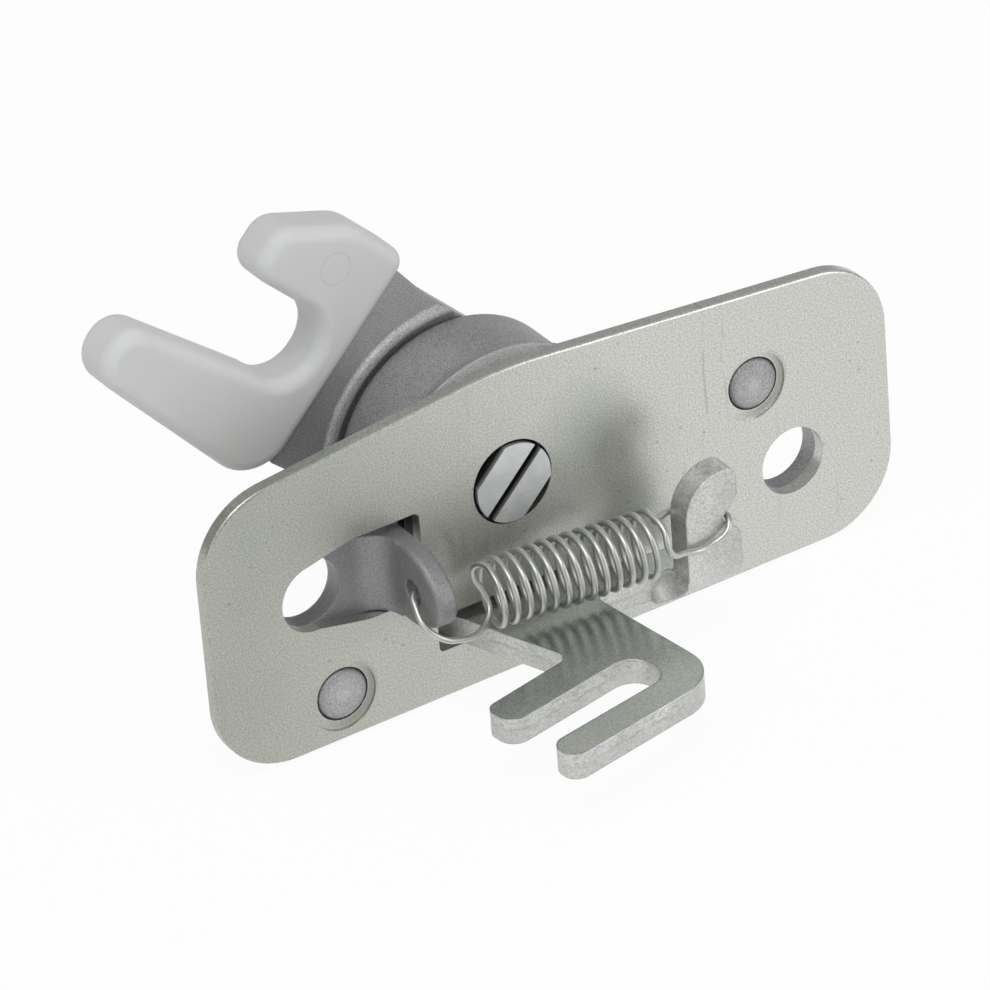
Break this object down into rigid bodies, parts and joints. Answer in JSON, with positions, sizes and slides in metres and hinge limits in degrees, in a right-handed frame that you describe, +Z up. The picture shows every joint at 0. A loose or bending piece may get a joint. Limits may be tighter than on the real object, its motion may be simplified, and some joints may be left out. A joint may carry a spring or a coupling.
{
  "type": "van door lock",
  "caption": "Rotary van door lock: zinc plated base plate, cast housing, white plastic claw, forked release lever and tension spring.",
  "frame": {"origin": "middle of the pivot hole on the front face of the base plate", "axes": "+X along the base plate's bottom edge, +Y backwards through the plate toward the claw, +Z up"},
  "size_m": [0.1179, 0.064, 0.0726],
  "materials": {
    "plate_steel": "zinc plated, satin, with faint yellow and pink tints",
    "lever_steel": "zinc plated, satin, sheared edges",
    "pin_steel": "turned, satin",
    "spring_steel": "bright drawn wire",
    "zinc_casting": "fine blasted die casting, matt grey",
    "claw_plastic": "slightly translucent white moulding"
  },
  "bodies": {
    "frame_body": {"base_plate": "plate_steel", "housing": "zinc_casting", "lever_pin": "pin_steel", "extension_spring": "spring_steel", "claw_spring": "spring_steel"},
    "claw_body": {"claw": "claw_plastic", "claw_carrier": "zinc_casting", "pivot_pin": "pin_steel", "pivot_washer": "pin_steel"},
    "lever_body": {"lever": "lever_steel"}
  },
  "joints": [
    {"name": "claw_turn", "type": "hinge", "parent": "frame_body", "child": "claw_body", "pos_m": [0, 0.0185, 0], "axis": [0, 1, 0], "range_deg": [0, 45], "stiffness_Nm_per_rad": 0.06, "springref_deg": -45.84, "deforming": ["claw_spring"]},
    {"name": "lever_swing", "type": "hinge", "parent": "frame_body", "child": "lever_body", "pos_m": [0.002, 0.0085, -0.0201], "axis": [0, 0, 1], "range_deg": [0, 8], "stiffness_Nm_per_rad": 0.3, "springref_deg": -22.92, "deforming": ["extension_spring"]}
  ]
}
